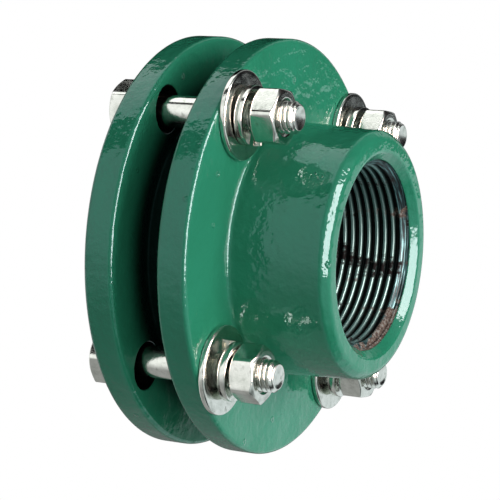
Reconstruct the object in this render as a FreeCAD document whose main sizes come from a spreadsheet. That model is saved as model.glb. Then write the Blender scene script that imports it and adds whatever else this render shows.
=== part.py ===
import FreeCAD, Part
import math
import os
import re
import Sketcher

# Two flanged hubs for threaded pipe, bolted face to face over a rubber gasket.
# Millimetres. +Z runs along the pipe, and the origin is the centre of the lower hub's end,
# on which the coupling stands. Threads are left out: a threaded hole has its crest diameter,
# and a bolt and its nut meet on the bolt's outer diameter.

doc = FreeCAD.newDocument("FlangedDoubleUnion")

DIMENSIONS = {
    "bore_diameter": 44.85,
    "thread_relief_depth": 1.65,
    "thread_relief_length": 0.5,
    "mouth_chamfer_width": 2,
    "mouth_chamfer_depth": 1.9,
    "hub_wall": 8.425,
    "front_hub_length": 26,
    "rear_hub_length": 12,
    "hub_draft_angle": 2.47,
    "hub_root_radius": 0.8,
    "hub_end_chamfer": 1.9,
    "hub_end_edge_radius": 2.2,
    "flange_thickness": 8,
    "flange_edge_radius": 1.2,
    "bolt_hole_diameter": 12,
    "bolt_hole_rim_wall": 2.35,
    "washer_hub_clearance": 1.5,
    "boss_height": 4.5,
    "boss_hole_clearance": 2.3,
    "boss_edge_radius": 0.8,
    "gasket_thickness": 3,
    "gasket_setback": 1,
    "gasket_bore_clearance": 1.5,
    "bolt_diameter": 8,
    "bolt_end_beyond_nut": 3.7,
    "bolt_end_chamfer": 0.9,
    "bolt_head_height": 5.3,
    "hexagon_across_flats": 13,
    "hexagon_corner_cut": 0.35,
    "nut_height": 6.5,
    "nut_bore_chamfer": 0.6,
    "flat_washer_diameter": 22,
    "flat_washer_thickness": 1.6,
    "flat_washer_edge_radius": 0.5,
    "washer_clearance": 0.25,
    "spring_washer_width": 3.1,
    "spring_washer_thickness": 2,
    "spring_washer_rise": 2.2,
    "spring_washer_gap_angle": 12,
    "settle_x_upper_right": 0.4,
    "settle_y_upper_right": 0.2,
    "settle_x_upper_left": 0,
    "settle_y_upper_left": -0.5,
    "settle_x_lower_left": 0.3,
    "settle_y_lower_left": 1.3,
    "settle_x_lower_right": 0.5,
    "settle_y_lower_right": -0.3,
}

sheet = doc.addObject("Spreadsheet::Sheet", "Dimensions")
for row, (alias, value) in enumerate(DIMENSIONS.items(), start=1):
    sheet.set(f"A{row}", alias)
    sheet.set(f"B{row}", str(value))
    sheet.setAlias(f"B{row}", alias)
doc.recompute()


def bound(expression):
    """The expression with each dimension's bare name pointed at its cell in the sheet."""
    def to_cell(word):
        return f"Dimensions.{word[0]}" if word[0] in DIMENSIONS else word[0]
    return re.sub(r"[a-z_]+", to_cell, expression)


def new_body(label):
    body = doc.addObject("PartDesign::Body", label)
    body.Label = label
    return body


def new_sketch(body, plane_role, name):
    """A sketch on one of the body's own origin planes."""
    plane = next(item for item in body.Origin.OriginFeatures if item.Role == plane_role)
    sketch = body.newObject("Sketcher::SketchObject", name)
    sketch.AttachmentSupport = [(plane, "")]
    sketch.MapMode = "FlatFace"
    return sketch


def draw_outline(sketch, corners):
    """A closed outline of straight edges, each corner an (across, up) pair of expressions."""
    count = len(corners)
    for i in range(count):
        ends = []
        for turn in (i / count, (i + 1) / count):
            angle = 2 * math.pi * turn
            ends.append(FreeCAD.Vector(math.cos(angle), math.sin(angle), 0))
        sketch.addGeometry(Part.LineSegment(*ends), False)
    for i in range(count):
        sketch.addConstraint(Sketcher.Constraint("Coincident", i, 2, (i + 1) % count, 1))
    for i, (across, up) in enumerate(corners):
        for kind, axis, expression in (("DistanceX", -2, across), ("DistanceY", -1, up)):
            if expression == "0":
                sketch.addConstraint(Sketcher.Constraint("PointOnObject", i, 1, axis))
            else:
                index = sketch.addConstraint(Sketcher.Constraint(kind, -1, 1, i, 1, 1.0))
                sketch.setExpression(f"Constraints[{index}]", bound(expression))


def turned(body, feature_type, name, corners):
    """A revolution or groove about Z of an outline given as (radius, height) pairs."""
    sketch = new_sketch(body, "XZ_Plane", name + "Section")
    draw_outline(sketch, corners)
    feature = body.newObject(feature_type, name)
    feature.Profile = sketch
    feature.ReferenceAxis = (sketch, ["V_Axis"])
    feature.Angle = 360
    doc.recompute()
    return feature


def rounded(body, name, rings, rounding):
    """A fillet on the circular edges that lie at the given (radius, height) pairs."""
    base = body.Tip
    edges = []
    for radius, height in rings:
        middle = FreeCAD.Vector(0, 0, sheet.evalExpression(height))
        ring_radius = sheet.evalExpression(radius)
        for index, edge in enumerate(base.Shape.Edges, start=1):
            if not isinstance(edge.Curve, Part.Circle):
                continue
            same_radius = abs(edge.Curve.Radius - ring_radius) < 1e-4
            if same_radius and edge.Curve.Center.isEqual(middle, 1e-4):
                edges.append(f"Edge{index}")
    fillet = body.newObject("PartDesign::Fillet", name)
    fillet.Base = (base, edges)
    fillet.setExpression("Radius", bound(rounding))
    doc.recompute()
    return fillet


def hexagon_pad(body, name, height, reversed_pad):
    """A hexagonal prism on the XY plane, two of its corners on the X axis."""
    sketch = new_sketch(body, "XY_Plane", name + "Section")
    corners = []
    for k in range(6):
        turn = 60 * k
        across = f"hexagon_across_flats / (2 * cos(30)) * cos({turn})"
        up = f"hexagon_across_flats / (2 * cos(30)) * sin({turn})" if turn % 180 else "0"
        corners.append((across, up))
    draw_outline(sketch, corners)
    pad = body.newObject("PartDesign::Pad", name)
    pad.Profile = sketch
    pad.Reversed = reversed_pad
    pad.setExpression("Length", bound(height))
    doc.recompute()
    return pad


def cut_hexagon_corners(body, name, end_height, inward):
    """The 30 degree cone that a hexagon's corners are turned to at one end."""
    inner = "(hexagon_across_flats / 2 - hexagon_corner_cut)"
    outer = "(hexagon_across_flats / 2 / cos(30) + 1)"
    depth = f"({outer} - {inner}) * tan(30)"
    turned(body, "PartDesign::Groove", name, [
        (inner, end_height),
        (outer, end_height),
        (outer, f"{end_height} {inward} {depth}" if end_height != "0" else f"{inward} {depth}"),
    ])


# The flange casting, from its joint face outwards: a raised boss, the disc, and the hub.
# Across, it grows from the bore: the hub's wall stands round the thread's relief, the bolt
# circle leaves room for a washer beside the hub, and the disc and the boss leave their walls
# beside the bolt holes.

FLANGE_BACK = "(boss_height + flange_thickness)"
RELIEF_RADIUS = "(bore_diameter / 2 + thread_relief_depth)"
HUB_RADIUS = f"({RELIEF_RADIUS} + hub_wall)"
MOUTH_RADIUS = f"({RELIEF_RADIUS} + mouth_chamfer_width)"
BOLT_CIRCLE_RADIUS = f"({HUB_RADIUS} + washer_hub_clearance + flat_washer_diameter / 2)"
FLANGE_RADIUS = f"({BOLT_CIRCLE_RADIUS} + bolt_hole_diameter / 2 + bolt_hole_rim_wall)"
BOSS_RADIUS = f"({BOLT_CIRCLE_RADIUS} - bolt_hole_diameter / 2 - boss_hole_clearance)"


def flange(label, hub_length):
    """A flange whose hub is as long as the named dimension and narrows by the draft on the way.
    A soft-edged chamfer leads from the drafted side to a flat ring round the mouth."""
    body = new_body(label)
    hub_end = f"({FLANGE_BACK} + {hub_length})"
    shoulder = f"({hub_end} - hub_end_chamfer)"
    shoulder_radius = f"({HUB_RADIUS} - ({hub_length} - hub_end_chamfer) * tan(hub_draft_angle))"
    hub_end_radius = f"({shoulder_radius} - hub_end_chamfer)"
    relief_top = f"({hub_end} - mouth_chamfer_depth)"
    relief_bottom = f"({relief_top} - thread_relief_length)"
    turned(body, "PartDesign::Revolution", label + "Casting", [
        ("bore_diameter / 2", "0"),
        (BOSS_RADIUS, "0"),
        (BOSS_RADIUS, "boss_height"),
        (FLANGE_RADIUS, "boss_height"),
        (FLANGE_RADIUS, FLANGE_BACK),
        (HUB_RADIUS, FLANGE_BACK),
        (shoulder_radius, shoulder),
        (hub_end_radius, hub_end),
        (MOUTH_RADIUS, hub_end),
        (RELIEF_RADIUS, relief_top),
        (RELIEF_RADIUS, relief_bottom),
        ("bore_diameter / 2", f"{relief_bottom} - thread_relief_depth"),
    ])
    rim_edges = [(FLANGE_RADIUS, "boss_height"), (FLANGE_RADIUS, FLANGE_BACK)]
    rounded(body, label + "RimEdges", rim_edges, "flange_edge_radius")
    rounded(body, label + "BossEdge", [(BOSS_RADIUS, "0")], "boss_edge_radius")
    rounded(body, label + "HubRoot", [(HUB_RADIUS, FLANGE_BACK)], "hub_root_radius")
    end_edges = [(shoulder_radius, shoulder), (hub_end_radius, hub_end)]
    rounded(body, label + "HubEnd", end_edges, "hub_end_edge_radius")

    sketch = new_sketch(body, "XY_Plane", label + "BoltHoleSection")
    sketch.addGeometry(Part.Circle(FreeCAD.Vector(1, 1, 0), FreeCAD.Vector(0, 0, 1), 1), False)
    for kind, trigonometry in (("DistanceX", "cos"), ("DistanceY", "sin")):
        index = sketch.addConstraint(Sketcher.Constraint(kind, -1, 1, 0, 3, 1.0))
        place = bound(f"{BOLT_CIRCLE_RADIUS} * {trigonometry}({FIRST_BOLT_ANGLE})")
        sketch.setExpression(f"Constraints[{index}]", place)
    index = sketch.addConstraint(Sketcher.Constraint("Diameter", 0, 1.0))
    sketch.setExpression(f"Constraints[{index}]", bound("bolt_hole_diameter"))
    hole = body.newObject("PartDesign::Pocket", label + "BoltHole")
    hole.Profile = sketch
    hole.Type = "ThroughAll"
    hole.Midplane = True
    doc.recompute()
    pattern = body.newObject("PartDesign::PolarPattern", label + "BoltHoles")
    pattern.Originals = [hole]
    pattern.Axis = (sketch, ["N_Axis"])
    pattern.Angle = 360
    pattern.Occurrences = len(BOLTS)
    body.Tip = pattern
    doc.recompute()
    return body


# The four bolts stand on their circle at the corners of a square, each with its own nut and washers.
# A bolt is slack in its hole, so each has settled a little off the hole's centre.
# The turns are those at which the head, the nut and the spring washer were left, in degrees.

FIRST_BOLT_ANGLE = 45
BOLTS = [
    {"corner": "upper_right", "head_turn": 30, "nut_turn": -1, "gap_turn": 275},
    {"corner": "upper_left", "head_turn": 36, "nut_turn": -1, "gap_turn": 265},
    {"corner": "lower_left", "head_turn": 2, "nut_turn": 34, "gap_turn": 80},
    {"corner": "lower_right", "head_turn": 15, "nut_turn": 3, "gap_turn": 70},
]

REAR_JOINT = f"(rear_hub_length + {FLANGE_BACK})"
FRONT_JOINT = f"({REAR_JOINT} + gasket_thickness)"
FRONT_FACE = f"({FRONT_JOINT} + {FLANGE_BACK})"
FLAT_WASHER_TOP = f"({FRONT_FACE} + flat_washer_thickness)"
NUT_SEAT = f"({FLAT_WASHER_TOP} + spring_washer_rise + spring_washer_thickness)"
BOLT_LENGTH = f"({NUT_SEAT} + nut_height + bolt_end_beyond_nut - rear_hub_length)"


def place_on_bolt(body, number, height, turn):
    """Sets a piece on the axis of one bolt, at a height, turned about that axis."""
    bolt = BOLTS[number]
    angle = FIRST_BOLT_ANGLE + 360 / len(BOLTS) * number
    corner = bolt["corner"]
    across = f"{BOLT_CIRCLE_RADIUS} * cos({angle}) + settle_x_{corner}"
    up = f"{BOLT_CIRCLE_RADIUS} * sin({angle}) + settle_y_{corner}"
    body.setExpression(".Placement.Base.x", bound(across))
    body.setExpression(".Placement.Base.y", bound(up))
    body.setExpression(".Placement.Base.z", bound(height))
    body.Placement.Rotation = FreeCAD.Rotation(FreeCAD.Vector(0, 0, 1), turn)


def hex_bolt(label, number):
    """A hexagon bolt, its head below the XY plane and its plain-drawn shank above."""
    body = new_body(label)
    hexagon_pad(body, label + "Head", "bolt_head_height", True)
    cut_hexagon_corners(body, label + "HeadCorners", "-bolt_head_height", "+")
    turned(body, "PartDesign::Revolution", label + "Shank", [
        ("0", "0"),
        ("bolt_diameter / 2", "0"),
        ("bolt_diameter / 2", f"{BOLT_LENGTH} - bolt_end_chamfer"),
        ("bolt_diameter / 2 - bolt_end_chamfer", BOLT_LENGTH),
        ("0", BOLT_LENGTH),
    ])
    place_on_bolt(body, number, "rear_hub_length", BOLTS[number]["head_turn"])


def hex_nut(label, number):
    """A hexagon nut with its corners turned off at both ends and its bore eased at both mouths."""
    body = new_body(label)
    hexagon_pad(body, label + "Hexagon", "nut_height", False)
    cut_hexagon_corners(body, label + "LowerCorners", "0", "")
    cut_hexagon_corners(body, label + "UpperCorners", "nut_height", "-")
    turned(body, "PartDesign::Groove", label + "Bore", [
        ("0", "0"),
        ("bolt_diameter / 2 + nut_bore_chamfer", "0"),
        ("bolt_diameter / 2", "nut_bore_chamfer"),
        ("bolt_diameter / 2", "nut_height - nut_bore_chamfer"),
        ("bolt_diameter / 2 + nut_bore_chamfer", "nut_height"),
        ("0", "nut_height"),
    ])
    place_on_bolt(body, number, NUT_SEAT, BOLTS[number]["nut_turn"])


def flat_washer(label, number):
    """A large stamped washer with its outer edges rolled over by tumbling."""
    body = new_body(label)
    turned(body, "PartDesign::Revolution", label + "Disc", [
        ("bolt_diameter / 2 + washer_clearance", "0"),
        ("flat_washer_diameter / 2", "0"),
        ("flat_washer_diameter / 2", "flat_washer_thickness"),
        ("bolt_diameter / 2 + washer_clearance", "flat_washer_thickness"),
    ])
    edges = [("flat_washer_diameter / 2", "0"), ("flat_washer_diameter / 2", "flat_washer_thickness")]
    rounded(body, label + "Edges", edges, "flat_washer_edge_radius")
    place_on_bolt(body, number, FRONT_FACE, 0)


def spring_washer(label, number):
    """One open turn of square-cut wire, wound left-handed so that its ends bite a loosening nut."""
    body = new_body(label)
    inner = "bolt_diameter / 2 + washer_clearance"
    outer = f"{inner} + spring_washer_width"
    sketch = new_sketch(body, "XZ_Plane", label + "Section")
    draw_outline(sketch, [
        (inner, "0"),
        (outer, "0"),
        (outer, "spring_washer_thickness"),
        (inner, "spring_washer_thickness"),
    ])
    coil = body.newObject("PartDesign::AdditiveHelix", label + "Coil")
    coil.Profile = sketch
    coil.ReferenceAxis = (sketch, ["V_Axis"])
    coil.Mode = "height-turns-angle"
    coil.LeftHanded = True
    coil.setExpression("Turns", bound("1 - spring_washer_gap_angle / 360"))
    coil.setExpression("Height", bound("spring_washer_rise"))
    doc.recompute()
    place_on_bolt(body, number, FLAT_WASHER_TOP, BOLTS[number]["gap_turn"])


def gasket(label):
    """A flat rubber ring clamped between the two bosses."""
    body = new_body(label)
    inner = "bore_diameter / 2 + gasket_bore_clearance"
    outer = f"{BOSS_RADIUS} - gasket_setback"
    turned(body, "PartDesign::Revolution", label + "Ring", [
        (inner, "0"),
        (outer, "0"),
        (outer, "gasket_thickness"),
        (inner, "gasket_thickness"),
    ])
    body.setExpression(".Placement.Base.z", bound(REAR_JOINT))


front_flange = flange("front_flange", "front_hub_length")
front_flange.setExpression(".Placement.Base.z", bound(FRONT_JOINT))
rear_flange = flange("rear_flange", "rear_hub_length")
rear_flange.setExpression(".Placement.Base.z", bound(REAR_JOINT))
rear_flange.Placement.Rotation = FreeCAD.Rotation(FreeCAD.Vector(1, 0, 0), 180)
gasket("gasket")
for number in range(len(BOLTS)):
    hex_bolt(f"hex_bolt_{number + 1}", number)
    flat_washer(f"flat_washer_{number + 1}", number)
    spring_washer(f"spring_washer_{number + 1}", number)
    hex_nut(f"hex_nut_{number + 1}", number)
doc.recompute()

failed = [item.Name for item in doc.Objects if {"Invalid", "Error"} & set(item.State)]
bodies = [item for item in doc.Objects if item.TypeId == "PartDesign::Body"]
for body in bodies:
    if body.Shape.isNull() or not body.Shape.isValid() or len(body.Shape.Solids) != 1:
        failed.append(body.Label)
if failed:
    raise RuntimeError("failed: " + ", ".join(failed))

os.makedirs("parts", exist_ok=True)
for body in bodies:
    body.Shape.exportStep(f"parts/{body.Label}.step")
    box = body.Shape.BoundBox
    print(f"{body.Label} volume {body.Shape.Volume:.1f} z {box.ZMin:.2f} to {box.ZMax:.2f}")
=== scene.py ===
import math

import bmesh
import bpy
from mathutils import Matrix
import numpy as np


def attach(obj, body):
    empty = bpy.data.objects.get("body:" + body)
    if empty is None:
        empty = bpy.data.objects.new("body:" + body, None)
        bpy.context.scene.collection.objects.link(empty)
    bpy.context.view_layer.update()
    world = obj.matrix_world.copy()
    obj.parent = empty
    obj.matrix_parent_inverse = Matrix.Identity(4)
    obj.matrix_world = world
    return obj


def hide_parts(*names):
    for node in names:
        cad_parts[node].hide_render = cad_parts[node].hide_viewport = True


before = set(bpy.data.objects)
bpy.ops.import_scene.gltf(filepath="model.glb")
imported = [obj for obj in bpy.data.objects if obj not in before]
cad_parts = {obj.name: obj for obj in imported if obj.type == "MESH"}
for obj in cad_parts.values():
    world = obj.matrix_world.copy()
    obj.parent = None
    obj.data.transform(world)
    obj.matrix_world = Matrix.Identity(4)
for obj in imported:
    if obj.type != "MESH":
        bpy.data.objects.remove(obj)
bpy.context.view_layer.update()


# The two flange castings. Each is one grey iron casting: a raised boss at the joint, a drilled disc
# and a hub. They are sprayed with gloss green enamel, which runs a little and lies thinner on the
# edges. The bolt holes are drilled and the bore is tapped afterwards, so both are bare iron. The
# holes' walls take the tapped iron's nearly black root colour, which is painted shade in the holes.

MM = 0.001                       # sizes are in millimetres, and meshes in metres
COLUMNS = 240                    # grid lines round a casting, 1.5 degrees apart
BORE_CREST = 22.425              # radius of the pipe thread's crests
BORE_ROOT = 23.85                # radius of its roots
PIPE_PITCH = 2.309
CONE_STRIP = 0.2                 # height of the lead-in cone's last strip, past the thread's grid
RELIEF = 24.075                  # radius of the turned ring between the lead-in and the mouth
RELIEF_LENGTH = 0.5
MOUTH = 26.075                   # radius of the mouth's edge in the hub's end
MOUTH_DEPTH = 1.9
MOUTH_EASE = 0.2
PAINT_LIP = 0.1                  # how far the mouth's paint reaches into the relief
BARE_EDGE = 24.6                 # radius where the paint starts on the joint face
BOSS = 36.7                      # radius
BOSS_HEIGHT = 4.5
BOSS_ROUND = 0.8
BOSS_FILLET = 0.6
DISC = 53.35                     # radius
DISC_EDGE = 1.2                  # rounding of the disc's two edges
DISC_BACK = 12.5                 # height of the disc's outer face over the joint face
FACE_EDGE = DISC - DISC_EDGE
HUB = 32.5                       # radius at the disc
HUB_FILLET = 1.1
HUB_DRAFT = 2.47                 # degrees
HUB_CHAMFER = 1.9
HUB_END_ROUND = 2.2
FRONT_HUB_LENGTH = 26.0
REAR_HUB_LENGTH = 12.0
BOLT_CIRCLE = 45.0               # radius of the circle through the bolt holes' centres
BOLT_HOLE = 6.0                  # radius
HOLE_EASE = 0.35                 # rounding of a hole's edges
AIM = 35.2                       # radius of the inner arc that a hole's edge points are aimed at
JOINT_REAR = 24.5                # heights of the two joint faces in the finished part
JOINT_FRONT = 27.5


def arc(across, up, radius, start, end, steps):
    """Points on a circle: the centre (across, up) plus radius times the angle's cosine and sine."""
    angle = np.radians(np.linspace(start, end, steps))
    return np.stack([across + radius * np.cos(angle), up + radius * np.sin(angle)], axis=-1)


def fillet(before, corner, after, radius, steps):
    """The arc that rounds a corner: its centre lies radius / sin(half the corner's angle) inside,
    and its points are its two ends as seen from there, mixed by the sines of their angles."""
    corner = np.array(corner)
    arms = []
    for end in (before, after):
        arm = np.array(end) - corner
        arms.append(arm / np.linalg.norm(arm))
    half = math.acos(arms[0] @ arms[1]) / 2
    inward = (arms[0] + arms[1]) / np.linalg.norm(arms[0] + arms[1])
    centre = corner + inward * radius / math.sin(half)
    first, last = [corner + arm * radius / math.tan(half) - centre for arm in arms]
    sweep = math.pi - 2 * half
    share = np.linspace(0, 1, steps)[:, None]
    mixed = np.sin((1 - share) * sweep) * first + np.sin(share * sweep) * last
    return centre + mixed / math.sin(sweep)


def wrapped(radius, angle, height):
    """Points round the Z axis: x = radius cos(angle), y = radius sin(angle), z = height."""
    radius, angle, height = np.broadcast_arrays(radius, angle, height)
    return np.stack([radius * np.cos(angle), radius * np.sin(angle), height], axis=-1)


def turned(profile, columns=COLUMNS):
    """A profile of (radius, height) pairs carried once round Z, as on a lathe."""
    angle = np.linspace(0, 2 * np.pi, columns + 1)
    return wrapped(profile[:, 0, None], angle, profile[:, 1, None])


def eased(rows, width):
    """Rows of points with each inner row made four, at one and three widths before and after it
    but never past 0.45 of the way to the next row. So the corner there is a narrow rounded edge,
    and the faces beside it stay flat."""
    middle, before, after = rows[1:-1], rows[:-2], rows[2:]
    parts = []
    for neighbour, shares in ((before, (3, 1)), (after, (1, 3))):
        step = neighbour - middle
        length = np.linalg.norm(step, axis=-1, keepdims=True)
        for share in shares:
            part = np.minimum(share * width / np.maximum(length, 1e-9), 0.45)
            parts.append(middle + step * part)
    corners = np.stack(parts, axis=1).reshape(-1, *rows.shape[1:])
    return np.concatenate([rows[:1], corners, rows[-1:]])


def thread_wave(turns):
    """A wave with round crests and roots, 1 at each crest: tanh(1.5 cosine) over tanh(1.5)."""
    return np.tanh(1.5 * np.cos(2 * np.pi * turns)) / math.tanh(1.5)


def sheared_heights(low, high, pitch, steps, columns):
    """Heights of a grid with a number of steps in each pitch, whose rows climb one pitch a turn and
    are held between the thread's two ends."""
    row = np.arange(int((high - low) / pitch * steps) + steps + 2)[:, None] / steps - 1
    turn = np.linspace(0, 1, columns + 1)
    return np.clip(low + pitch * (row + turn), low, high)


def tapped_bore(cone_end):
    """The pipe thread, up to the lead-in cone's last strip. Its radius is the middle minus depth
    times the wave of (height / pitch - turn), but no smaller than the 45 degree lead-in cone, which
    turns the last crests down."""
    height = sheared_heights(0, cone_end - CONE_STRIP, PIPE_PITCH, 14, COLUMNS)
    turn = np.linspace(0, 1, COLUMNS + 1)
    middle, depth = (BORE_ROOT + BORE_CREST) / 2, (BORE_ROOT - BORE_CREST) / 2
    radius = middle - depth * thread_wave(height / PIPE_PITCH - turn)
    radius = np.maximum(radius, RELIEF - (cone_end - height))
    return wrapped(radius, 2 * np.pi * turn, height)


def sector_border(inner, middle):
    """The border of the sector within 30 degrees of a hole, as points (x, y): along the disc's
    edge, in along one side, back along the arc of radius inner and out along the other side."""
    fan = middle + np.radians(np.linspace(-30, 30, 41))
    inwards = np.linspace(FACE_EDGE, inner, 13)
    radius = np.concatenate([np.full_like(fan, FACE_EDGE), inwards[1:],
                             np.full_like(fan[1:], inner), inwards[::-1][1:]])
    angle = np.concatenate([fan, np.full_like(inwards[1:], fan[-1]),
                            fan[::-1][1:], np.full_like(inwards[1:], fan[0])])
    return wrapped(radius, angle, 0)[:, :2]


def drilled_face(inner, level, into):
    """One face of the disc from radius inner outwards, with its four bolt holes, where into is the
    sign of the way into the iron. Within 30 degrees of a hole the lines run from the hole's rounded
    edge to the border of that sector, and between holes they run by radius. The edge's points are
    aimed at the same border on both faces, so that the hole's wall joins both."""
    patches = []
    for quarter in range(4):
        hole_angle = np.radians(45 + 90 * quarter)
        centre = BOLT_CIRCLE * np.array([np.cos(hole_angle), np.sin(hole_angle)])
        way = sector_border(AIM, hole_angle) - centre
        way /= np.linalg.norm(way, axis=-1, keepdims=True)
        rows = []
        for turn in np.radians([90, 60, 30, 0]):
            flat = centre + way * (BOLT_HOLE + HOLE_EASE * (1 - math.sin(turn)))
            height = level + into * HOLE_EASE * (1 - math.cos(turn))
            rows.append(np.column_stack([flat, np.full(len(flat), height)]))
        border = sector_border(inner, hole_angle)
        edge = centre + way * (BOLT_HOLE + HOLE_EASE)
        for share in (0.08, 0.3, 0.6, 1):
            flat = edge + (border - edge) * share
            rows.append(np.column_stack([flat, np.full(len(flat), level)]))
        patches.append(np.stack(rows))
        between = hole_angle + np.radians(np.linspace(30, 60, 21))
        patches.append(wrapped(np.linspace(FACE_EDGE, inner, 13)[:, None], between, level))
    return patches


def hole_walls(outer_face):
    """The straight wall of each bolt hole, on the same points as the hole's edge in both faces."""
    heights = np.linspace(BOSS_HEIGHT + HOLE_EASE, DISC_BACK - HOLE_EASE, 5)
    walls = []
    for sector in outer_face[::2]:
        wall = np.repeat(sector[:1], len(heights), axis=0)
        wall[:, :, 2] = heights[:, None]
        walls.append(wall)
    return walls


def casting(hub_length):
    """One casting, joint face at height 0 and hub upwards, as two lists of grids: what is painted,
    and what is cut afterwards. Each profile runs from edge to edge, with rows a little way from
    each rounding that keep the faces beside it flat."""
    hub_end = DISC_BACK + hub_length
    narrowing = math.tan(math.radians(HUB_DRAFT))
    boss = np.concatenate([
        [[BARE_EDGE, 0], [30, 0], [35.4, 0]],
        arc(BOSS - BOSS_ROUND, BOSS_ROUND, BOSS_ROUND, -90, 0, 7),
        arc(BOSS + BOSS_FILLET, BOSS_HEIGHT - BOSS_FILLET, BOSS_FILLET, 180, 90, 5)])
    rim = np.concatenate([
        arc(FACE_EDGE, BOSS_HEIGHT + DISC_EDGE, DISC_EDGE, -90, 0, 8),
        [[DISC, 6.1], [DISC, 8.5], [DISC, 10.9]],
        arc(FACE_EDGE, DISC_BACK - DISC_EDGE, DISC_EDGE, 0, 90, 8)])
    root = arc(HUB + HUB_FILLET, DISC_BACK + HUB_FILLET, HUB_FILLET, 270, 180 + HUB_DRAFT, 7)
    climb = np.linspace(DISC_BACK + HUB_FILLET + 0.8, hub_end - HUB_CHAMFER - 1.2, 8)
    side = np.stack([HUB - (climb - DISC_BACK) * narrowing, climb], axis=-1)
    shoulder = (HUB - (hub_length - HUB_CHAMFER) * narrowing, hub_end - HUB_CHAMFER)
    chamfer_end = (shoulder[0] - HUB_CHAMFER, hub_end)
    mouth_edge = (MOUTH, hub_end)
    end = np.concatenate([fillet(side[-1], shoulder, chamfer_end, HUB_END_ROUND, 9),
                          fillet(shoulder, chamfer_end, mouth_edge, HUB_END_ROUND, 9)])
    relief_top = hub_end - MOUTH_DEPTH
    relief_low = relief_top - RELIEF_LENGTH
    paint_end = relief_top - PAINT_LIP
    mouth = np.array([end[-1], mouth_edge, [RELIEF, relief_top], [RELIEF, paint_end]])
    outer_face = drilled_face(HUB + HUB_FILLET, DISC_BACK, -1)
    inner_face = drilled_face(BOSS + BOSS_FILLET, BOSS_HEIGHT, 1)
    painted = [turned(boss), turned(rim), turned(np.concatenate([root, side, end])),
               turned(eased(mouth, MOUTH_EASE))]

    bore = tapped_bore(relief_low)
    relief = turned(np.array([[RELIEF, paint_end], [RELIEF, relief_low]]))
    cone_strip = np.stack([relief[-1], bore[-1]])
    joint_edge = np.stack([bore[0], painted[0][0]])
    cut = [bore, relief, cone_strip, joint_edge]
    # The hole walls take the tapped iron; far out from the axis they get its nearly black root
    # colour, painted shade inside the holes.
    return painted + outer_face + inner_face, cut + hole_walls(outer_face)


def new_piece(name, layers, node):
    """A closed mesh from grids of points in millimetres, one layer of grids for each material.
    Each grid's quads join neighbouring points, and points that coincide are made one."""
    points, quads, slots = [], [], []
    count = 0
    for number, (material, grids) in enumerate(layers):
        for grid in grids:
            rows, columns = grid.shape[:2]
            first = count + np.arange(rows - 1)[:, None] * columns + np.arange(columns - 1)
            corners = [first, first + 1, first + columns + 1, first + columns]
            quads.append(np.stack(corners, axis=-1).reshape(-1, 4))
            slots.append(np.full(len(quads[-1]), number, dtype=np.int32))
            points.append(grid.reshape(-1, 3))
            count += rows * columns
    mesh = bpy.data.meshes.new(name)
    quads = np.concatenate(quads)
    mesh.vertices.add(count)
    mesh.vertices.foreach_set("co", (np.concatenate(points) * MM).astype(np.float32).ravel())
    mesh.loops.add(quads.size)
    mesh.loops.foreach_set("vertex_index", quads.astype(np.int32).ravel())
    mesh.polygons.add(len(quads))
    mesh.polygons.foreach_set("loop_start", np.arange(0, quads.size, 4, dtype=np.int32))
    mesh.polygons.foreach_set("material_index", np.concatenate(slots))
    mesh.update(calc_edges=True)
    work = bmesh.new()
    work.from_mesh(mesh)
    bmesh.ops.remove_doubles(work, verts=work.verts, dist=0.004 * MM)
    bmesh.ops.recalc_face_normals(work, faces=work.faces)
    work.to_mesh(mesh)
    work.free()
    mesh.polygons.foreach_set("use_smooth", np.ones(len(mesh.polygons), dtype=bool))
    for material, grids in layers:
        mesh.materials.append(material)
    piece = bpy.data.objects.new(name, mesh)
    bpy.context.scene.collection.objects.link(piece)
    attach(piece, "root")
    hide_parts(node)


def linear(colour):
    """An sRGB hex colour as the linear RGBA that shaders take: each channel over 12.92 where it is
    dark, and else (channel + 0.055) / 1.055 to the power 2.4."""
    srgb = np.array([int(colour[i:i + 2], 16) for i in (1, 3, 5)]) / 255
    low, high = srgb / 12.92, ((srgb + 0.055) / 1.055) ** 2.4
    return (*np.where(srgb <= 0.04045, low, high), 1)


def add_node(tree, kind, sockets=None, **settings):
    """Adds one node: its settings as attributes, and each named input linked or given its value."""
    node = tree.nodes.new(kind)
    for name, value in settings.items():
        setattr(node, name, value)
    for name, value in (sockets or {}).items():
        if isinstance(value, bpy.types.NodeSocket):
            tree.links.new(value, node.inputs[name])
        else:
            node.inputs[name].default_value = value
    return node


def new_material(name):
    """A node material with only its output: the material, its tree and the output's surface."""
    material = bpy.data.materials.new(name)
    material.use_nodes = True
    material.node_tree.nodes.clear()
    output = add_node(material.node_tree, "ShaderNodeOutputMaterial")
    return material, material.node_tree, output.inputs["Surface"]


def stops(ramp, colours):
    """Sets a colour ramp's stops from (position, hex colour) pairs."""
    elements = ramp.color_ramp.elements
    while len(elements) < len(colours):
        elements.new(0.5)
    for element, (position, colour) in zip(elements, colours):
        element.position = position
        element.color = linear(colour)


def spaced(size):
    """The scale of a pattern whose marks lie size millimetres apart: one over that in metres."""
    return 1 / (size * MM)


# Gloss alkyd enamel over rough casting: a smooth glassy film that follows the sand-cast skin in
# slow waves about 9 mm long, with an orange peel of about 2 mm and a few burst bubbles, so that
# reflections break at their edges. In the gap, where the gun hardly reaches, it is dull. There its
# colour is also darkened towards the middle, nearly to black, as painted shade between the discs.
JOINT_MIDDLE = (JOINT_REAR + JOINT_FRONT) / 2
HALF_GAP = JOINT_FRONT + BOSS_HEIGHT - JOINT_MIDDLE

enamel, tree, surface = new_material("gloss_green_enamel_on_cast_iron")
place = add_node(tree, "ShaderNodeTexCoord").outputs["Object"]
tint = add_node(tree, "ShaderNodeTexNoise", {"Vector": place, "Scale": spaced(28.57), "Detail": 3})
shade = add_node(tree, "ShaderNodeValToRGB", {"Fac": tint.outputs["Fac"]})
stops(shade, [(0.3, "#2a7b5b"), (0.7, "#2f8666")])

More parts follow.
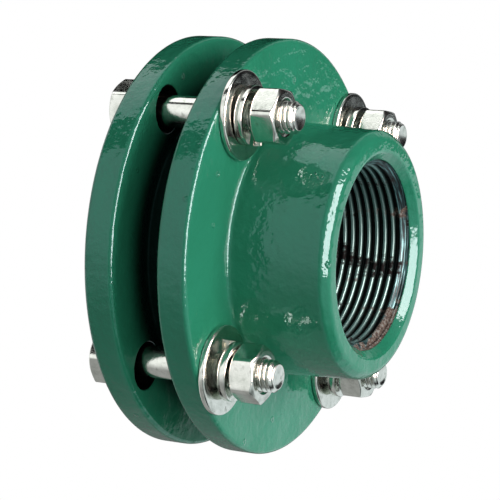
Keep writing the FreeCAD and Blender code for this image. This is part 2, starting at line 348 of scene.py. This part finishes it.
flat = add_node(tree, "ShaderNodeVectorMath", {0: place, 1: (1, 1, 0)}, operation="MULTIPLY")
reach = add_node(tree, "ShaderNodeVectorMath", {0: flat.outputs["Vector"]}, operation="LENGTH")
inward = add_node(tree, "ShaderNodeMapRange", {
    "Value": reach.outputs["Value"], "From Min": 47 * MM, "From Max": 39 * MM},
    interpolation_type="SMOOTHSTEP")
level = add_node(tree, "ShaderNodeSeparateXYZ", {"Vector": place})
off_joint = add_node(tree, "ShaderNodeMath", {
    0: level.outputs["Z"], 1: JOINT_MIDDLE * MM}, operation="SUBTRACT")
off_joint = add_node(tree, "ShaderNodeMath", {0: off_joint.outputs["Value"]}, operation="ABSOLUTE")
in_gap = add_node(tree, "ShaderNodeMath", {
    0: off_joint.outputs["Value"], 1: (HALF_GAP + 0.8) * MM}, operation="LESS_THAN")
# Painted shade: towards the middle of the gap the enamel's colour is darkened nearly to black.
gap_painted_shade = add_node(tree, "ShaderNodeMath", {
    0: inward.outputs["Result"], 1: in_gap.outputs["Value"]}, operation="MULTIPLY")
shade = add_node(tree, "ShaderNodeMix", {
    "Factor": gap_painted_shade.outputs["Value"], "A": shade.outputs["Color"], "B": linear("#0a1f1a")},
    data_type="RGBA")
dry = add_node(tree, "ShaderNodeMath", {
    0: off_joint.outputs["Value"], 1: (HALF_GAP + 0.05) * MM}, operation="LESS_THAN")
dull = add_node(tree, "ShaderNodeMapRange", {
    "Value": dry.outputs["Value"], "To Min": 0.05, "To Max": 0.2})
gloss = add_node(tree, "ShaderNodeMapRange", {
    "Value": dry.outputs["Value"], "To Min": 0.5, "To Max": 0.1})

waves = add_node(tree, "ShaderNodeTexNoise", {
    "Vector": place, "Scale": spaced(9.091), "Detail": 4, "Roughness": 0.44})
skin = add_node(tree, "ShaderNodeBump", {
    "Height": waves.outputs["Fac"], "Strength": 1.0, "Distance": 0.6 * MM})
peel = add_node(tree, "ShaderNodeTexNoise", {
    "Vector": place, "Scale": spaced(1.923), "Detail": 2, "Roughness": 0.5})
skin = add_node(tree, "ShaderNodeBump", {
    "Height": peel.outputs["Fac"], "Normal": skin.outputs["Normal"], "Strength": 1.0,
    "Distance": 0.16 * MM})
bubbles = add_node(tree, "ShaderNodeTexVoronoi", {"Vector": place, "Scale": spaced(3.704)})
chosen = add_node(tree, "ShaderNodeSeparateColor", {"Color": bubbles.outputs["Color"]})
few = add_node(tree, "ShaderNodeMath", {
    0: chosen.outputs["Red"], 1: 0.94}, operation="GREATER_THAN")
crater = add_node(tree, "ShaderNodeValToRGB", {"Fac": bubbles.outputs["Distance"]})
stops(crater, [(0.0, "#3c3c3c"), (0.1, "#5a5a5a"), (0.17, "#ffffff"), (0.26, "#000000")])
crater = add_node(tree, "ShaderNodeMath", {
    0: crater.outputs["Color"], 1: few.outputs["Value"]}, operation="MULTIPLY")
skin = add_node(tree, "ShaderNodeBump", {
    "Height": crater.outputs["Value"], "Normal": skin.outputs["Normal"], "Strength": 1.0,
    "Distance": 0.16 * MM})
shader = add_node(tree, "ShaderNodeBsdfPrincipled", {
    "Base Color": shade.outputs["Result"], "Normal": skin.outputs["Normal"],
    "Roughness": dull.outputs["Result"], "IOR": 1.5,
    "Specular IOR Level": gloss.outputs["Result"], "Specular Tint": linear("#c8f7fd")})
tree.links.new(shader.outputs["BSDF"], surface)

# Tapped cast iron, left oily: burnished crests and dull flanks, with the colour darkening by depth
# to nearly black in the roots as painted shade, and grime in patches about 7 mm apart that are
# drawn out along the bore. By the mouth the turned skin has fine ring lines, and rust has started
# there on the side that was lowest in store.
FRONT_END = JOINT_FRONT + DISC_BACK + FRONT_HUB_LENGTH

cut_iron, tree, surface = new_material("tapped_cast_iron_with_rust_spots")
place = add_node(tree, "ShaderNodeTexCoord").outputs["Object"]
flat = add_node(tree, "ShaderNodeVectorMath", {0: place, 1: (1, 1, 0)}, operation="MULTIPLY")
reach = add_node(tree, "ShaderNodeVectorMath", {0: flat.outputs["Vector"]}, operation="LENGTH")
# Colour by depth into the thread: light on the burnished crests, nearly black in the roots as
# painted shade.
depth = add_node(tree, "ShaderNodeMapRange", {
    "Value": reach.outputs["Value"], "From Min": BORE_CREST * MM, "From Max": BORE_ROOT * MM})
bare = add_node(tree, "ShaderNodeValToRGB", {"Fac": depth.outputs["Result"]})
stops(bare, [(0.0, "#749a95"), (0.42, "#40605c"), (0.68, "#121d1c"), (1.0, "#060909")])

level = add_node(tree, "ShaderNodeSeparateXYZ", {"Vector": place})
past_thread = add_node(tree, "ShaderNodeMapRange", {
    "Value": level.outputs["Z"], "From Min": (FRONT_END - 4.8) * MM,
    "From Max": (FRONT_END - 4.1) * MM})
squeezed = add_node(tree, "ShaderNodeVectorMath", {
    0: place, 1: (0.05, 0.05, 1)}, operation="MULTIPLY")
ring_lines = add_node(tree, "ShaderNodeTexNoise", {
    "Vector": squeezed.outputs["Vector"], "Scale": spaced(0.2941), "Detail": 2})
turned_skin = add_node(tree, "ShaderNodeValToRGB", {"Fac": ring_lines.outputs["Fac"]})
stops(turned_skin, [(0.35, "#081414"), (0.5, "#1f4042"), (0.62, "#5a8686")])
bare = add_node(tree, "ShaderNodeMix", {
    "Factor": past_thread.outputs["Result"], "A": bare.outputs["Color"],
    "B": turned_skin.outputs["Color"]}, data_type="RGBA")

drawn_out = add_node(tree, "ShaderNodeVectorMath", {
    0: place, 1: (1, 1, 0.2)}, operation="MULTIPLY")
shifted = add_node(tree, "ShaderNodeVectorMath", {
    0: drawn_out.outputs["Vector"], 1: (0, 3.8 * MM, 0)}, operation="ADD")
grime = add_node(tree, "ShaderNodeTexNoise", {
    "Vector": shifted.outputs["Vector"], "Scale": spaced(6.667), "Detail": 6, "Roughness": 0.7})
grime = add_node(tree, "ShaderNodeMapRange", {
    "Value": grime.outputs["Fac"], "From Min": 0.56, "From Max": 0.62})
bare = add_node(tree, "ShaderNodeMix", {
    "Factor": grime.outputs["Result"], "A": bare.outputs["Result"], "B": linear("#050606")},
    data_type="RGBA")

spots = add_node(tree, "ShaderNodeTexNoise", {
    "Vector": drawn_out.outputs["Vector"], "Scale": spaced(5.882), "Detail": 4,
    "Roughness": 0.62})
low_side = add_node(tree, "ShaderNodeVectorMath", {
    0: place, 1: (0.42, -0.9, 0)}, operation="DOT_PRODUCT")
low_side = add_node(tree, "ShaderNodeMapRange", {
    "Value": low_side.outputs["Value"], "From Min": 18 * MM, "From Max": 23.5 * MM})
damp = add_node(tree, "ShaderNodeMath", {
    0: low_side.outputs["Result"], 1: past_thread.outputs["Result"]}, operation="MULTIPLY")
amount = add_node(tree, "ShaderNodeMath", {
    0: damp.outputs["Value"], 1: 0.3, 2: spots.outputs["Fac"]}, operation="MULTIPLY_ADD")
rusted = add_node(tree, "ShaderNodeMapRange", {
    "Value": amount.outputs["Value"], "From Min": 0.6, "From Max": 0.66})
grit = add_node(tree, "ShaderNodeTexNoise", {
    "Vector": place, "Scale": spaced(0.7692), "Detail": 4, "Roughness": 0.6})
rust = add_node(tree, "ShaderNodeValToRGB", {"Fac": grit.outputs["Fac"]})
stops(rust, [(0.36, "#0e1110"), (0.5, "#54402f"), (0.62, "#86827a")])
colour = add_node(tree, "ShaderNodeMix", {
    "Factor": rusted.outputs["Result"], "A": bare.outputs["Result"], "B": rust.outputs["Color"]},
    data_type="RGBA")
cover = add_node(tree, "ShaderNodeMath", {
    0: rusted.outputs["Result"], 1: grime.outputs["Result"]}, operation="MAXIMUM")
metal = add_node(tree, "ShaderNodeMapRange", {
    "Value": rusted.outputs["Result"], "To Min": 0.6, "To Max": 0.05})
dull = add_node(tree, "ShaderNodeMapRange", {
    "Value": cover.outputs["Value"], "To Min": 0.4, "To Max": 0.9})
skin = add_node(tree, "ShaderNodeBump", {
    "Height": grit.outputs["Fac"], "Strength": 0.8, "Distance": 0.05 * MM})
shader = add_node(tree, "ShaderNodeBsdfPrincipled", {
    "Base Color": colour.outputs["Result"], "Metallic": metal.outputs["Result"],
    "Roughness": dull.outputs["Result"], "Normal": skin.outputs["Normal"]})
tree.links.new(shader.outputs["BSDF"], surface)

for name, node, hub_length, turn_over, joint in (
        ("front_casting", "front_flange", FRONT_HUB_LENGTH, [1, 1, 1], JOINT_FRONT),
        ("rear_casting", "rear_flange", REAR_HUB_LENGTH, [1, -1, -1], JOINT_REAR)):
    layers = []
    for material, grids in zip((enamel, cut_iron), casting(hub_length)):
        layers.append((material, [grid * turn_over + [0, 0, joint] for grid in grids]))
    new_piece(name, layers, node)


# The gasket: a ring cut from 3 mm black sheet rubber and squeezed between the two bosses, so that
# its edge bulges slightly. The rubber is matt and blue-black, with a faint bloom.

GASKET = 35.7                    # radius where its edge bulges most
GASKET_HOLE = 23.925
SHEET = 3.0


def closed_loop(corners, width):
    """A loop of (radius, height) corners, eased, as a profile that ends where it began."""
    loop = np.array(corners, dtype=float)
    start = (loop[0] + loop[-1]) / 2
    return eased(np.concatenate([[start], loop, [start]]), width)


rubber, tree, surface = new_material("black_sheet_rubber")
place = add_node(tree, "ShaderNodeTexCoord").outputs["Object"]
bloom = add_node(tree, "ShaderNodeTexNoise", {"Vector": place, "Scale": spaced(3.846), "Detail": 4})
shade = add_node(tree, "ShaderNodeValToRGB", {"Fac": bloom.outputs["Fac"]})
stops(shade, [(0.3, "#162c36"), (0.75, "#224252")])
skin = add_node(tree, "ShaderNodeBump", {
    "Height": bloom.outputs["Fac"], "Strength": 0.5, "Distance": 0.06 * MM})
shader = add_node(tree, "ShaderNodeBsdfPrincipled", {
    "Base Color": shade.outputs["Color"], "Normal": skin.outputs["Normal"], "Roughness": 0.8})
tree.links.new(shader.outputs["BSDF"], surface)

ring = closed_loop([
    (GASKET_HOLE, 0), (GASKET - 0.2, 0), (GASKET - 0.02, 0.7), (GASKET, SHEET / 2),
    (GASKET - 0.02, SHEET - 0.7), (GASKET - 0.2, SHEET), (GASKET_HOLE, SHEET)], 0.1)
new_piece("rubber_gasket", [(rubber, [turned(ring, 120) + [0, 0, JOINT_REAR]])], "gasket")


# The four hexagon bolts, M8 by 44, cold headed and roll threaded from steel wire and then bright
# nickel plated. Each passes from the rear disc to the front and has settled off its hole's centre.

SIDES = 96                       # grid lines round a fastener
SETTLED = [(0.4, 0.2), (0, -0.5), (0.3, 1.3), (0.5, -0.3)]      # along X and Y
HEAD_TURNS = [30, 36, 2, 15]     # degrees
HEAD_HEIGHT = 5.3
ACROSS_FLATS = 13.0
CROWN = ACROSS_FLATS / 2 - 0.35  # radius of the round face inside the chamfer
CORNER_POWER = 36                # the higher, the sharper the hexagon's corners
FASTENER_EASE = 0.09
SHANK = 4.0                      # radius
UNDER_HEAD = 0.4                 # fillet between head and shank
THREAD_START = 20.0
THREAD_FADE = 2.0
THREAD_ROOT = 3.3                # radius
BOLT_PITCH = 1.25
BOLT_SEAT = 12.0                 # height of the rear disc's outer face
BOLT_LENGTH = 44.0
TIP_CHAMFER = 0.9


def on_bolt(grids, number, seat, turn):
    """Grids turned about Z by an angle in degrees and moved onto one bolt's axis at a height."""
    cosine, sine = math.cos(math.radians(turn)), math.sin(math.radians(turn))
    spin = np.array([[cosine, sine, 0], [-sine, cosine, 0], [0, 0, 1]])
    hole_angle = math.radians(45 + 90 * number)
    off_x, off_y = SETTLED[number]
    axis = [BOLT_CIRCLE * math.cos(hole_angle) + off_x, BOLT_CIRCLE * math.sin(hole_angle) + off_y]
    return [grid @ spin + [*axis, seat] for grid in grids]


def hexagon():
    """The outline of a head or nut, as two values for each grid line. The first is the distance
    from the axis to a hexagon with slightly rounded corners: half the width across flats over the
    36th root of the summed 36th powers of the cosines to its three pairs of flats. The second is
    the fall of the 30 degree chamfer: its tangent times the distance that lies past the crown."""
    angle = np.linspace(0, 2 * np.pi, SIDES + 1)
    flats = [np.abs(np.cos(angle - np.radians(turn))) ** CORNER_POWER for turn in (30, 90, 150)]
    outline = ACROSS_FLATS / 2 / sum(flats) ** (1 / CORNER_POWER)
    return outline, (outline - CROWN) * math.tan(math.radians(30))


def around(rows):
    """Rows of (radius, height) pairs, each a number or a value for each grid line, round Z."""
    angle = np.linspace(0, 2 * np.pi, SIDES + 1)
    return np.stack([wrapped(radius, angle, height) for radius, height in rows])


def hex_bolt():
    """Head, shank, thread and dished end, with the head's seat at height 0. The thread's radius is
    the smaller of its own wave, which fades in over 2 mm, and the 45 degree cone at the tip."""
    outline, fall = hexagon()
    head = around([
        (0, -HEAD_HEIGHT), (CROWN, -HEAD_HEIGHT), (outline, -HEAD_HEIGHT + fall), (outline, 0),
        (SHANK + UNDER_HEAD, 0), (SHANK, UNDER_HEAD), (SHANK, THREAD_START)])
    height = sheared_heights(THREAD_START, BOLT_LENGTH, BOLT_PITCH, 12, SIDES)
    turn = np.linspace(0, 1, SIDES + 1)
    fade = np.clip((height - THREAD_START) / THREAD_FADE, 0, 1)
    wave = thread_wave(height / BOLT_PITCH - turn)
    radius = SHANK - fade * (SHANK - THREAD_ROOT) / 2 * (1 - wave)
    radius = np.minimum(radius, SHANK - TIP_CHAMFER + BOLT_LENGTH - height)
    thread = wrapped(radius, 2 * np.pi * turn, height)
    dish = [(SHANK - TIP_CHAMFER, 0), (2.9, 0), (2.5, 0.16), (1.4, 0.3), (0, 0.34)]
    tip = around([(across, BOLT_LENGTH - sunk) for across, sunk in dish])
    return [eased(head, FASTENER_EASE), thread, tip]


# Bright nickel plate: near-white metal with a warm cast, mirror bright on the flats, with drawing
# and handling marks about 0.3 mm apart and faint grey stains of about 3 mm that dull it in places.
plate, tree, surface = new_material("bright_nickel_plated_steel")
place = add_node(tree, "ShaderNodeTexCoord").outputs["Object"]
stain = add_node(tree, "ShaderNodeTexNoise", {
    "Vector": place, "Scale": spaced(3.125), "Detail": 4, "Roughness": 0.6})
shade = add_node(tree, "ShaderNodeValToRGB", {"Fac": stain.outputs["Fac"]})
stops(shade, [(0.28, "#a9aea6"), (0.45, "#cdd1c9"), (0.62, "#dcdfd8"), (0.78, "#9a9f96")])
dull = add_node(tree, "ShaderNodeMapRange", {
    "Value": stain.outputs["Fac"], "From Min": 0.3, "From Max": 0.75, "To Min": 0.09,
    "To Max": 0.2})
marks = add_node(tree, "ShaderNodeTexNoise", {
    "Vector": place, "Scale": spaced(0.3125), "Detail": 3})
skin = add_node(tree, "ShaderNodeBump", {
    "Height": marks.outputs["Fac"], "Strength": 1.0, "Distance": 0.013 * MM})
shader = add_node(tree, "ShaderNodeBsdfPrincipled", {
    "Base Color": shade.outputs["Color"], "Metallic": 1.0, "Roughness": dull.outputs["Result"],
    "Normal": skin.outputs["Normal"]})
tree.links.new(shader.outputs["BSDF"], surface)

for number in range(4):
    grids = on_bolt(hex_bolt(), number, BOLT_SEAT, HEAD_TURNS[number])
    new_piece(f"bolt_{number + 1}", [(plate, grids)], f"hex_bolt_{number + 1}")


# The flat washers: 22 mm discs stamped from strip, tumbled until their edges are round, and plated
# with the bolts. They lie on the front disc and reach 2 or 3 mm past its rim.

WASHER = 11.0                    # radius
WASHER_EDGE = 0.5                # rounding of its rim
WASHER_THICKNESS = 1.6
WASHER_HOLE = 4.25               # radius
WASHER_BREAK = 0.15              # chamfer of the hole
FRONT_DISC_FACE = 40.0           # height of the front disc's outer face

hole_edge = WASHER_HOLE + WASHER_BREAK
disc = np.concatenate([
    [[hole_edge, 0], [WASHER_HOLE + 0.4, 0], [9.9, 0]],
    arc(WASHER - WASHER_EDGE, WASHER_EDGE, WASHER_EDGE, -90, 0, 6),
    arc(WASHER - WASHER_EDGE, WASHER_THICKNESS - WASHER_EDGE, WASHER_EDGE, 0, 90, 6),
    [[9.9, WASHER_THICKNESS], [WASHER_HOLE + 0.4, WASHER_THICKNESS], [hole_edge, WASHER_THICKNESS]],
    [[WASHER_HOLE, WASHER_THICKNESS - WASHER_BREAK], [WASHER_HOLE, WASHER_BREAK], [hole_edge, 0]]])
for number in range(4):
    grids = on_bolt([turned(disc, SIDES)], number, FRONT_DISC_FACE, 0)
    new_piece(f"flat_washer_ring_{number + 1}", [(plate, grids)], f"flat_washer_{number + 1}")


# The spring washers: one left-handed turn of flat-sided wire, cut so that its two ends stand apart
# and bite. They aren't squeezed flat, because the nuts are only finger tight.

GAP_TURNS = [275, 265, 80, 70]   # degrees
COIL = 5.8                       # radius to the middle of the wire
COIL_TURN = 348                  # degrees
COIL_RISE = 2.2
WIRE_WIDTH = 3.1
WIRE_HEIGHT = 2.0
WIRE_ROUND = 0.22


def spring_washer():
    """A rounded rectangle carried along a left-handed helix: the angle falls by 348 degrees while
    the section rises 2.2 mm, and the first and last rows close on the section's middle."""
    corners = []
    for across, up, start in ((1, 1, 0), (-1, 1, 90), (-1, -1, 180), (1, -1, 270)):
        middle = (across * (WIRE_WIDTH / 2 - WIRE_ROUND), up * (WIRE_HEIGHT / 2 - WIRE_ROUND))
        corners.append(arc(*middle, WIRE_ROUND, start, start + 90, 4))
    section = np.concatenate([*corners, corners[0][:1]])
    along = np.concatenate([[0, 0, 0], np.linspace(0, 1, 91), [1, 1, 1]])[:, None]
    scale = np.concatenate([[0, 0.6, 0.97], np.ones(91), [0.97, 0.6, 0]])[:, None]
    radius = COIL + section[:, 0] * scale
    height = WIRE_HEIGHT / 2 + section[:, 1] * scale + COIL_RISE * along
    return [wrapped(radius, np.radians(-COIL_TURN * along), height)]


for number in range(4):
    grids = on_bolt(spring_washer(), number, FRONT_DISC_FACE + WASHER_THICKNESS, GAP_TURNS[number])
    new_piece(f"spring_washer_coil_{number + 1}", [(plate, grids)],
              f"spring_washer_{number + 1}")


# The hexagon nuts: cold formed, chamfered to 30 degrees at both ends and tapped, and plated like
# the bolts. Each sits on its spring washer with about three turns of bolt showing above it.

NUT_TURNS = [-1, -1, 34, 3]      # degrees
NUT_SEAT = 45.8                  # height of the spring washers' raised ends
NUT_HEIGHT = 6.5
COUNTERSINK = 0.6


def hex_nut():
    """Outside, a hexagon cut by a cone at each end, and inside, a bore with countersunk mouths."""
    outline, fall = hexagon()
    bore_middle = (SHANK, 3.2)
    rows = [
        bore_middle, (SHANK, COUNTERSINK), (SHANK + COUNTERSINK, 0), (CROWN, 0),
        (outline, fall), (outline, NUT_HEIGHT - fall),
        (CROWN, NUT_HEIGHT), (SHANK + COUNTERSINK, NUT_HEIGHT), (SHANK, NUT_HEIGHT - COUNTERSINK),
        bore_middle]
    return [eased(around(rows), FASTENER_EASE)]


for number in range(4):
    grids = on_bolt(hex_nut(), number, NUT_SEAT, NUT_TURNS[number])
    new_piece(f"nut_{number + 1}", [(plate, grids)], f"hex_nut_{number + 1}")


# The studio: a white floor without an end. The camera sees it as pure white, reflections don't show
# it, and it lights the part from below only as a pale grey floor would.

mesh = bpy.data.meshes.new("studio_floor")
mesh.from_pydata([(-8, -8, 0), (8, -8, 0), (8, 8, 0), (-8, 8, 0)], [], [(0, 1, 2, 3)])
floor = bpy.data.objects.new("studio_floor", mesh)
bpy.context.scene.collection.objects.link(floor)

paper, tree, surface = new_material("white_background_paper")
paths = add_node(tree, "ShaderNodeLightPath")
matt = add_node(tree, "ShaderNodeBsdfDiffuse", {"Color": linear("#8c8c8c")})
white = add_node(tree, "ShaderNodeEmission", {"Color": linear("#ffffff")})
shader = add_node(tree, "ShaderNodeMixShader", {
    "Fac": paths.outputs["Is Camera Ray"], 1: matt.outputs["BSDF"], 2: white.outputs["Emission"]})
tree.links.new(shader.outputs["Shader"], surface)
floor.data.materials.append(paper)
floor.visible_glossy = False

# The room: white to the camera. To the part it is a pale band at the horizon that darkens upwards,
# with a pale panel towards +X and a soft glow overhead. Below the horizon, white and black cards
# stand round it for the enamel and the plate to reflect, over a white foot.
world = bpy.data.worlds.new("studio_room")
bpy.context.scene.world = world
world.use_nodes = True
tree = world.node_tree
tree.nodes.clear()
ways = add_node(tree, "ShaderNodeTexCoord").outputs["Generated"]
way = add_node(tree, "ShaderNodeSeparateXYZ", {"Vector": ways})
band = add_node(tree, "ShaderNodeValToRGB", {"Fac": way.outputs["Z"]})
stops(band, [(0.0, "#d0d4d6"), (0.12, "#b0b4b6"), (0.3, "#404244"), (0.42, "#1c1e20"),
             (0.9, "#1c1e20")])

lower = add_node(tree, "ShaderNodeMapRange", {
    "Value": way.outputs["Y"], "From Min": 0.049, "From Max": 0.043},
    interpolation_type="SMOOTHSTEP")
beyond = add_node(tree, "ShaderNodeMapRange", {
    "Value": way.outputs["X"], "From Min": 0.2, "From Max": 0.6}, interpolation_type="SMOOTHSTEP")
panel = add_node(tree, "ShaderNodeMath", {
    0: lower.outputs["Result"], 1: beyond.outputs["Result"]}, operation="MULTIPLY")
sky = add_node(tree, "ShaderNodeMix", {
    "Factor": panel.outputs["Value"], "A": band.outputs["Color"], "B": linear("#eef6fa")},
    data_type="RGBA")

round_about = add_node(tree, "ShaderNodeTexGradient", {"Vector": ways}, gradient_type="RADIAL")
cards = add_node(tree, "ShaderNodeValToRGB", {"Fac": round_about.outputs["Fac"]})
stops(cards, [
    (0.0, "#e0e0e0"), (0.04, "#d0d0d0"), (0.09, "#a4a4a4"), (0.13, "#808080"), (0.27, "#848484"),
    (0.36, "#7c7c7c"), (0.44, "#606060"), (0.5, "#303030"), (0.55, "#010101"), (0.699, "#010101"),
    (0.703, "#ffffff"), (0.821, "#ffffff"), (0.825, "#080808"), (0.868, "#080808"),
    (0.872, "#e0e0e0"), (1.0, "#e0e0e0")])
cards = add_node(tree, "ShaderNodeVectorMath", {
    0: cards.outputs["Color"], "Scale": 1.8}, operation="SCALE")
under = add_node(tree, "ShaderNodeMapRange", {
    "Value": way.outputs["Z"], "From Min": 0.0, "From Max": -0.1})
sky = add_node(tree, "ShaderNodeMix", {
    "Factor": under.outputs["Result"], "A": sky.outputs["Result"], "B": cards.outputs["Vector"]},
    data_type="RGBA")
foot = add_node(tree, "ShaderNodeMapRange", {
    "Value": way.outputs["Z"], "From Min": -0.7, "From Max": -0.85})
sky = add_node(tree, "ShaderNodeMix", {
    "Factor": foot.outputs["Result"], "A": sky.outputs["Result"], "B": linear("#ffffff")},
    data_type="RGBA")

overhead = add_node(tree, "ShaderNodeVectorMath", {
    0: ways, 1: (-0.36, 0.16, 0.92)}, operation="DOT_PRODUCT")
glow = add_node(tree, "ShaderNodeMapRange", {
    "Value": overhead.outputs["Value"], "From Min": 0.4, "From Max": 0.85},
    interpolation_type="SMOOTHSTEP")
sky = add_node(tree, "ShaderNodeMix", {
    "Factor": glow.outputs["Result"], "A": sky.outputs["Result"], "B": linear("#e4eef0")},
    data_type="RGBA")
paths = add_node(tree, "ShaderNodeLightPath")
sky = add_node(tree, "ShaderNodeMix", {
    "Factor": paths.outputs["Is Camera Ray"], "A": sky.outputs["Result"],
    "B": linear("#ffffff")}, data_type="RGBA")
back = add_node(tree, "ShaderNodeBackground", {"Color": sky.outputs["Result"], "Strength": 1.0})
add_node(tree, "ShaderNodeOutputWorld", {"Surface": back.outputs["Background"]})


def add_lamp(name, way, distance, along, width, length, colour, watts):
    """A rectangular area lamp, at a distance along a direction from the middle of the front disc.
    It faces that point, and its length lies as near to the direction along as that allows."""
    lamp = bpy.data.lights.new(name, "AREA")
    lamp.shape = "RECTANGLE"
    lamp.size = width
    lamp.size_y = length
    lamp.energy = watts
    lamp.color = linear(colour)[:3]
    holder = bpy.data.objects.new(name, lamp)
    away = np.array(way) / np.linalg.norm(way)
    lengthwise = np.array(along) - away * (away @ np.array(along))
    lengthwise /= np.linalg.norm(lengthwise)
    turns = np.column_stack([np.cross(lengthwise, away), lengthwise, away])
    holder.location = away * distance + [0, 0, FRONT_DISC_FACE * MM]
    holder.rotation_euler = Matrix(turns).to_euler()
    bpy.context.scene.collection.objects.link(holder)
    return holder


# A strip softbox over the part, which only reflections show, draws the white lines on the rims and
# the hub's edges. A large softbox beside it, which they don't show, lights the discs and the hub.
strip = add_lamp(
    "strip_softbox", (-0.22, 0.26, 0.94), 1.0, (0.47, 0.86, -0.21), 0.52, 1.15, "#ffdad8", 43)
strip.visible_diffuse = False
fill = add_lamp("large_softbox", (0.05, 0.24, 0.95), 1.5, (0, 1, 0), 0.9, 0.9, "#f1faff", 16)
fill.visible_glossy = False


# The camera: a long lens about half a metre from the part, which stands on its rear hub, with the
# camera rolled on its side so that the pipe's axis runs across the picture.

lens = bpy.data.cameras.new("camera")
lens.sensor_width = 36
lens.lens = 134.007
lens.clip_start = 0.01
lens.dof.use_dof = False
camera = bpy.data.objects.new("camera", lens)
camera.location = (-0.430741, 0.005414, 0.248406)
camera.rotation_euler = [math.radians(turn) for turn in (-10.1129, -62.6039, 10.4400)]
bpy.context.scene.collection.objects.link(camera)
bpy.context.scene.camera = camera
bpy.context.scene.view_settings.view_transform = "Standard"
